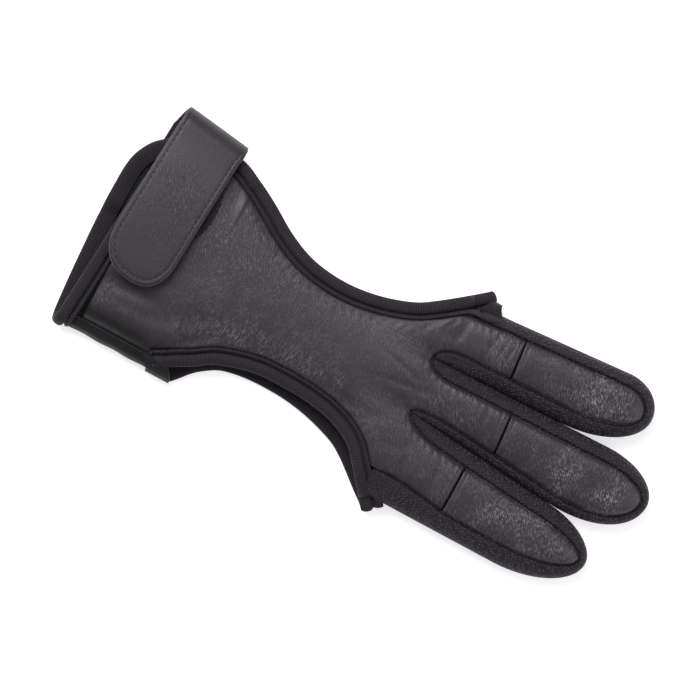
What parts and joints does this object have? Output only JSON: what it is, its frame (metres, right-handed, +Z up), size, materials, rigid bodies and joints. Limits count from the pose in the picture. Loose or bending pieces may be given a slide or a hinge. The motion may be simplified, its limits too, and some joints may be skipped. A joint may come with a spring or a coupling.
{
  "type": "archery glove",
  "caption": "Three-finger archery glove of thin dark leather with knitted mesh stalls, bound edges and a wrap-round wrist strap, lying palm up.",
  "frame": {"origin": "centre of the bounding box of the glove in the plan, on the surface it lies on", "axes": "+X from the wrist edge to the fingertips, +Y across the hand from the thumb opening to the strap side, +Z up from the surface, out of the palm leather"},
  "size_m": [0.2082, 0.0906, 0.0165],
  "materials": {
    "palm_leather": "satin grained",
    "tip_leather": "satin grained",
    "strap_leather": "satin grained",
    "stall_mesh": "matt knitted mesh",
    "stretch_fabric": "matt",
    "bound_tape": "matt ribbed",
    "fastener_pile": "matt pile"
  },
  "bodies": {
    "root": {"palm_leather": "palm_leather", "ring_tip_leather": "tip_leather", "ring_stall_mesh": "stall_mesh", "middle_tip_leather": "tip_leather", "middle_stall_mesh": "stall_mesh", "index_tip_leather": "tip_leather", "index_stall_mesh": "stall_mesh", "back_panel": "stretch_fabric", "thumb_opening_binding": "bound_tape", "wrist_edge_binding": "bound_tape", "closure_strap": "strap_leather", "hook_patch": "fastener_pile", "loop_patch": "fastener_pile"}
  },
  "joints": []
}
